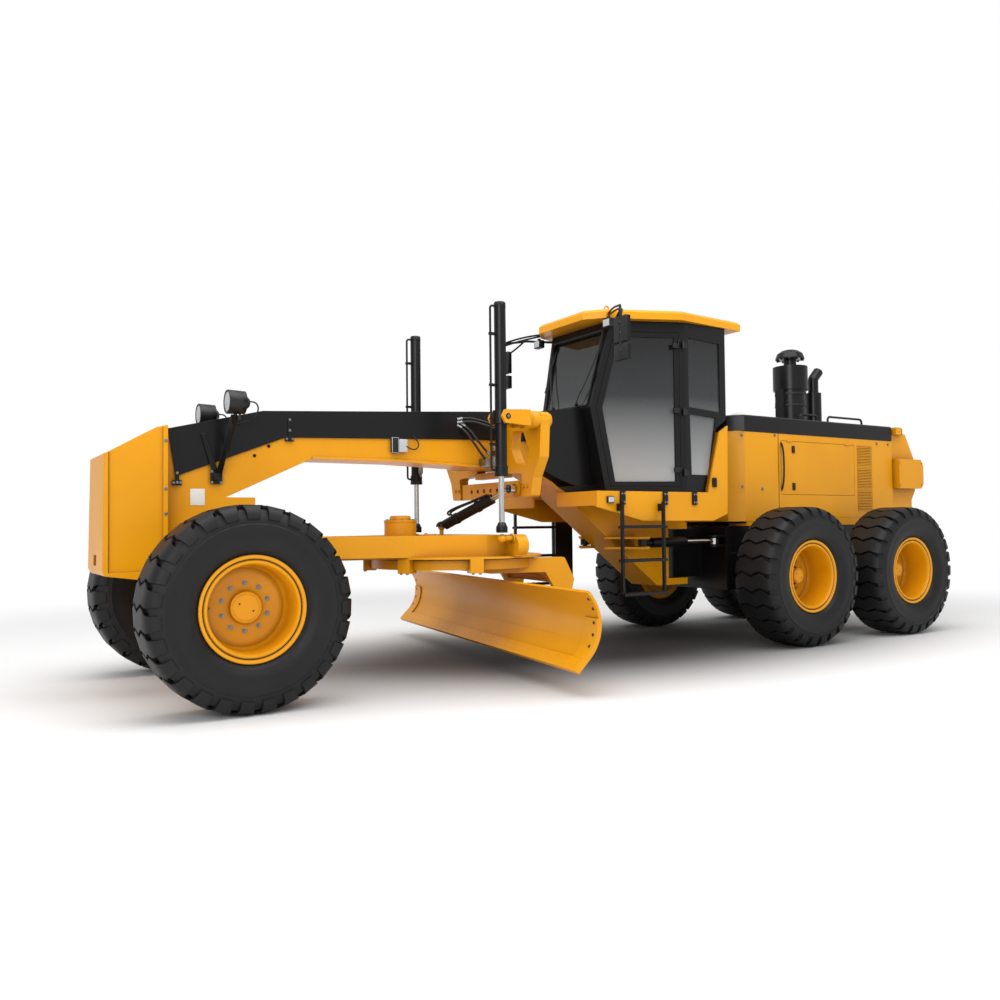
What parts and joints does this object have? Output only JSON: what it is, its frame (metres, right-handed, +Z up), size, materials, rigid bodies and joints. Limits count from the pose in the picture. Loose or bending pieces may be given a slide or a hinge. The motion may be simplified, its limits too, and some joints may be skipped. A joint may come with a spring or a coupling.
{
  "type": "motor grader",
  "caption": "Articulated motor grader with drawbar, turning circle, curved blade, front counterweight, hollow cab, leaning steered front wheels and tandem drive wheels.",
  "frame": {"origin": "middle of the machine's length and width, on the ground", "axes": "+X towards the front of the machine, +Y to its left, +Z up"},
  "size_m": [9.7997, 4.2574, 3.4799],
  "materials": {
    "yellow_paint": "satin paint",
    "black_paint": "satin paint",
    "tyre": "matt",
    "seat_fabric": "matt",
    "window_glass": "polished",
    "bare_steel": "polished",
    "dark_metal": "rough"
  },
  "bodies": {
    "rear_frame": {"rear_frame": "black_paint", "engine_block": "dark_metal", "engine_hood": "yellow_paint", "hood_top": "black_paint", "intake_and_exhaust": "black_paint", "tail_housing": "yellow_paint", "rear_axle": "yellow_paint"},
    "front_frame": {"main_frame": "yellow_paint", "frame_cover": "black_paint", "counterweight": "yellow_paint", "lift_saddle": "yellow_paint", "cab_shell": "black_paint", "cab_roof": "yellow_paint", "cab_glass": "window_glass", "cab_platform": "yellow_paint", "cab_seat": "seat_fabric", "ladders_and_flap": "black_paint"},
    "tandem_left": {"tandem_left": "black_paint"},
    "tandem_right": {"tandem_right": "black_paint"},
    "engine_door_left": {"engine_door_left": "yellow_paint"},
    "engine_door_right": {"engine_door_right": "yellow_paint"},
    "lift_yoke_left": {"lift_yoke_left": "yellow_paint"},
    "lift_yoke_right": {"lift_yoke_right": "yellow_paint"},
    "lift_barrel_left": {"lift_barrel_left": "black_paint"},
    "lift_barrel_right": {"lift_barrel_right": "black_paint"},
    "lift_rod_left": {"lift_rod_left": "bare_steel"},
    "lift_rod_right": {"lift_rod_right": "bare_steel"},
    "drawbar_ball": {"drawbar_ball": "bare_steel"},
    "drawbar": {"drawbar": "yellow_paint"},
    "shift_barrel": {"shift_barrel": "black_paint"},
    "shift_rod": {"shift_rod": "bare_steel"},
    "circle": {"circle": "yellow_paint"},
    "blade_carrier": {"blade_carrier": "yellow_paint"},
    "moldboard": {"moldboard": "yellow_paint"},
    "artic_barrel_left": {"artic_barrel_left": "black_paint"},
    "artic_barrel_right": {"artic_barrel_right": "black_paint"},
    "artic_rod_left": {"artic_rod_left": "bare_steel"},
    "artic_rod_right": {"artic_rod_right": "bare_steel"},
    "front_axle": {"front_axle": "yellow_paint"},
    "lean_yoke_left": {"lean_yoke_left": "yellow_paint"},
    "lean_yoke_right": {"lean_yoke_right": "yellow_paint"},
    "lean_bar": {"lean_bar": "yellow_paint"},
    "knuckle_left": {"knuckle_left": "yellow_paint"},
    "knuckle_right": {"knuckle_right": "yellow_paint"},
    "tie_rod_ball": {"tie_rod_ball": "bare_steel"},
    "tie_rod": {"tie_rod": "yellow_paint"},
    "cab_door_left": {"cab_door_left": "black_paint"},
    "cab_door_right": {"cab_door_right": "black_paint"},
    "wheel_rear_left_front": {"rim_rear_left_front": "yellow_paint", "tyre_rear_left_front": "tyre"},
    "wheel_rear_left_back": {"rim_rear_left_back": "yellow_paint", "tyre_rear_left_back": "tyre"},
    "wheel_rear_right_front": {"rim_rear_right_front": "yellow_paint", "tyre_rear_right_front": "tyre"},
    "wheel_rear_right_back": {"rim_rear_right_back": "yellow_paint", "tyre_rear_right_back": "tyre"},
    "wheel_front_left": {"rim_front_left": "yellow_paint", "tyre_front_left": "tyre"},
    "wheel_front_right": {"rim_front_right": "yellow_paint", "tyre_front_right": "tyre"}
  },
  "joints": [
    {"name": "articulation", "type": "hinge", "parent": "rear_frame", "child": "front_frame", "pos_m": [-0.95, 0, 0.95], "axis": [0, 0, 1], "range_deg": [-25, 25]},
    {"name": "tandem_left", "type": "hinge", "parent": "rear_frame", "child": "tandem_left", "pos_m": [-2.6, 0.69, 0.725], "axis": [0, 1, 0], "range_deg": [-15, 15]},
    {"name": "tandem_right", "type": "hinge", "parent": "rear_frame", "child": "tandem_right", "pos_m": [-2.6, -0.69, 0.725], "axis": [0, 1, 0], "range_deg": [-15, 15]},
    {"name": "spin_rear_left_front", "type": "hinge", "parent": "tandem_left", "child": "wheel_rear_left_front", "pos_m": [-1.731, 1.147, 0.725], "axis": [0, 1, 0], "continuous": true},
    {"name": "spin_rear_left_back", "type": "hinge", "parent": "tandem_left", "child": "wheel_rear_left_back", "pos_m": [-3.469, 1.147, 0.725], "axis": [0, 1, 0], "continuous": true},
    {"name": "spin_rear_right_front", "type": "hinge", "parent": "tandem_right", "child": "wheel_rear_right_front", "pos_m": [-1.731, -1.147, 0.725], "axis": [0, 1, 0], "continuous": true},
    {"name": "spin_rear_right_back", "type": "hinge", "parent": "tandem_right", "child": "wheel_rear_right_back", "pos_m": [-3.469, -1.147, 0.725], "axis": [0, 1, 0], "continuous": true},
    {"name": "spin_front_left", "type": "hinge", "parent": "knuckle_left", "child": "wheel_front_left", "pos_m": [4.07, 1.093, 0.725], "axis": [0, 1, 0], "continuous": true},
    {"name": "spin_front_right", "type": "hinge", "parent": "knuckle_right", "child": "wheel_front_right", "pos_m": [4.07, -1.093, 0.725], "axis": [0, 1, 0], "continuous": true},
    {"name": "axle_oscillation", "type": "hinge", "parent": "front_frame", "child": "front_axle", "pos_m": [4.07, 0, 0.83], "axis": [1, 0, 0], "range_deg": [-15, 15]},
    {"name": "lean_left", "type": "hinge", "parent": "front_axle", "child": "lean_yoke_left", "pos_m": [4.07, 0.8, 0.64], "axis": [-1, 0, 0], "range_deg": [-17, 17]},
    {"name": "steer_left", "type": "hinge", "parent": "lean_yoke_left", "child": "knuckle_left", "pos_m": [4.07, 0.905, 0.725], "axis": [0, 0, 1], "range_deg": [-45, 45]},
    {"name": "lean_right", "type": "hinge", "parent": "front_axle", "child": "lean_yoke_right", "pos_m": [4.07, -0.8, 0.64], "axis": [-1, 0, 0], "range_deg": [-17, 17]},
    {"name": "steer_right", "type": "hinge", "parent": "lean_yoke_right", "child": "knuckle_right", "pos_m": [4.07, -0.905, 0.725], "axis": [0, 0, 1], "range_deg": [-45, 45]},
    {"name": "tie_rod_swivel", "type": "hinge", "parent": "knuckle_left", "child": "tie_rod_ball", "pos_m": [3.855, 0.812, 0.425], "axis": [0, 0, 1], "range_deg": [-50, 50]},
    {"name": "tie_rod_lean", "type": "hinge", "parent": "tie_rod_ball", "child": "tie_rod", "pos_m": [3.855, 0.812, 0.425], "axis": [-1, 0, 0], "range_deg": [-17, 17]},
    {"name": "lean_bar_swing", "type": "hinge", "parent": "lean_yoke_left", "child": "lean_bar", "pos_m": [4.07, 0.8, 0.97], "axis": [-1, 0, 0], "range_deg": [-17, 17]},
    {"name": "drawbar_swing", "type": "hinge", "parent": "front_frame", "child": "drawbar_ball", "pos_m": [3.58, 0, 1.12], "axis": [0, 0, 1], "range_deg": [-8, 8]},
    {"name": "drawbar_lift", "type": "hinge", "parent": "drawbar_ball", "child": "drawbar", "pos_m": [3.58, 0, 1.12], "axis": [0, 1, 0], "range_deg": [-20, 8]},
    {"name": "circle_turn", "type": "hinge", "parent": "drawbar", "child": "circle", "pos_m": [1.78, 0, 0.94], "axis": [0, 0, -1], "range_deg": [-44.4, 27.6]},
    {"name": "blade_tip", "type": "hinge", "parent": "circle", "child": "blade_carrier", "pos_m": [1.24579, 0.07888, 0.45], "axis": [0.1461, 0.9893, 0], "range_deg": [-5, 40]},
    {"name": "blade_side_shift", "type": "slide", "parent": "blade_carrier", "child": "moldboard", "axis": [0.1461, 0.9893, 0], "range_m": [-0.6, 0.6]},
    {"name": "lift_yoke_left", "type": "hinge", "parent": "front_frame", "child": "lift_yoke_left", "pos_m": [1.745, 0.815, 2.23], "axis": [1, 0, 0], "range_deg": [-14.4, 14.4]},
    {"name": "lift_barrel_left", "type": "hinge", "parent": "lift_yoke_left", "child": "lift_barrel_left", "pos_m": [1.745, 0.815, 2.23], "axis": [0, 1, 0], "range_deg": [-6.6, 6.6]},
    {"name": "lift_rod_left", "type": "slide", "parent": "lift_barrel_left", "child": "lift_rod_left", "axis": [0, 0, -1], "range_m": [-0.26, 0.64]},
    {"name": "lift_yoke_right", "type": "hinge", "parent": "front_frame", "child": "lift_yoke_right", "pos_m": [1.745, -0.815, 2.23], "axis": [1, 0, 0], "range_deg": [-14.4, 14.4]},
    {"name": "lift_barrel_right", "type": "hinge", "parent": "lift_yoke_right", "child": "lift_barrel_right", "pos_m": [1.745, -0.815, 2.23], "axis": [0, 1, 0], "range_deg": [-6.6, 6.6]},
    {"name": "lift_rod_right", "type": "slide", "parent": "lift_barrel_right", "child": "lift_rod_right", "axis": [0, 0, -1], "range_m": [-0.26, 0.64]},
    {"name": "shift_barrel_swing", "type": "hinge", "parent": "drawbar", "child": "shift_barrel", "pos_m": [1.84, -0.11, 1.275], "axis": [0.7202, 0.6302, -0.2901], "range_deg": [-17, 42.5]},
    {"name": "shift_rod_slide", "type": "slide", "parent": "shift_barrel", "child": "shift_rod", "axis": [-0.4952, 0.7552, 0.4296], "range_m": [-0.15, 0.36]},
    {"name": "artic_barrel_left", "type": "hinge", "parent": "front_frame", "child": "artic_barrel_left", "pos_m": [-0.18, 0.48, 1.09], "axis": [0, 0, 1], "range_deg": [-6.5, 6.5]},
    {"name": "artic_rod_left", "type": "slide", "parent": "artic_barrel_left", "child": "artic_rod_left", "axis": [-1, 0, 0], "range_m": [-0.21, 0.21]},
    {"name": "engine_door_left", "type": "hinge", "parent": "rear_frame", "child": "engine_door_left", "pos_m": [-2.67, 0.6, 2.211], "axis": [1, 0, 0], "range_deg": [0, 75]},
    {"name": "cab_door_left", "type": "hinge", "parent": "front_frame", "child": "cab_door_left", "pos_m": [-0.436, 0.77522, 2.4], "axis": [0, 0, 1], "range_deg": [0, 80]},
    {"name": "artic_barrel_right", "type": "hinge", "parent": "front_frame", "child": "artic_barrel_right", "pos_m": [-0.18, -0.48, 1.09], "axis": [0, 0, 1], "range_deg": [-6.5, 6.5]},
    {"name": "artic_rod_right", "type": "slide", "parent": "artic_barrel_right", "child": "artic_rod_right", "axis": [-1, 0, 0], "range_m": [-0.21, 0.21]},
    {"name": "engine_door_right", "type": "hinge", "parent": "rear_frame", "child": "engine_door_right", "pos_m": [-2.67, -0.6, 2.211], "axis": [-1, 0, 0], "range_deg": [0, 75]},
    {"name": "cab_door_right", "type": "hinge", "parent": "front_frame", "child": "cab_door_right", "pos_m": [-0.436, -0.77522, 2.4], "axis": [0, 0, -1], "range_deg": [0, 80]}
  ],
  "couplings": [
    {"joint": "lean_right", "follows": "lean_left", "ratio": 1},
    {"joint": "steer_right", "follows": "steer_left", "ratio": 1},
    {"joint": "tie_rod_swivel", "follows": "steer_left", "ratio": -1.1036},
    {"joint": "tie_rod_lean", "follows": "lean_left", "ratio": -1},
    {"joint": "lean_bar_swing", "follows": "lean_left", "ratio": -1},
    {"joint": "lift_yoke_left", "follows": "drawbar_swing", "ratio": -1.69},
    {"joint": "lift_barrel_left", "follows": "drawbar_swing", "ratio": 0.81},
    {"joint": "lift_rod_left", "follows": "drawbar_lift", "m_per_rad": -1.822},
    {"joint": "lift_yoke_right", "follows": "drawbar_swing", "ratio": -1.69},
    {"joint": "lift_barrel_right", "follows": "drawbar_swing", "ratio": -0.81},
    {"joint": "lift_rod_right", "follows": "drawbar_lift", "m_per_rad": -1.822},
    {"joint": "shift_barrel_swing", "follows": "drawbar_lift", "ratio": -2.1},
    {"joint": "shift_rod_slide", "follows": "drawbar_lift", "m_per_rad": -1.0027},
    {"joint": "artic_barrel_left", "follows": "articulation", "ratio": -0.2306},
    {"joint": "artic_rod_left", "follows": "articulation", "m_per_rad": -0.4733},
    {"joint": "artic_barrel_right", "follows": "articulation", "ratio": -0.2306},
    {"joint": "artic_rod_right", "follows": "articulation", "m_per_rad": 0.4733}
  ]
}
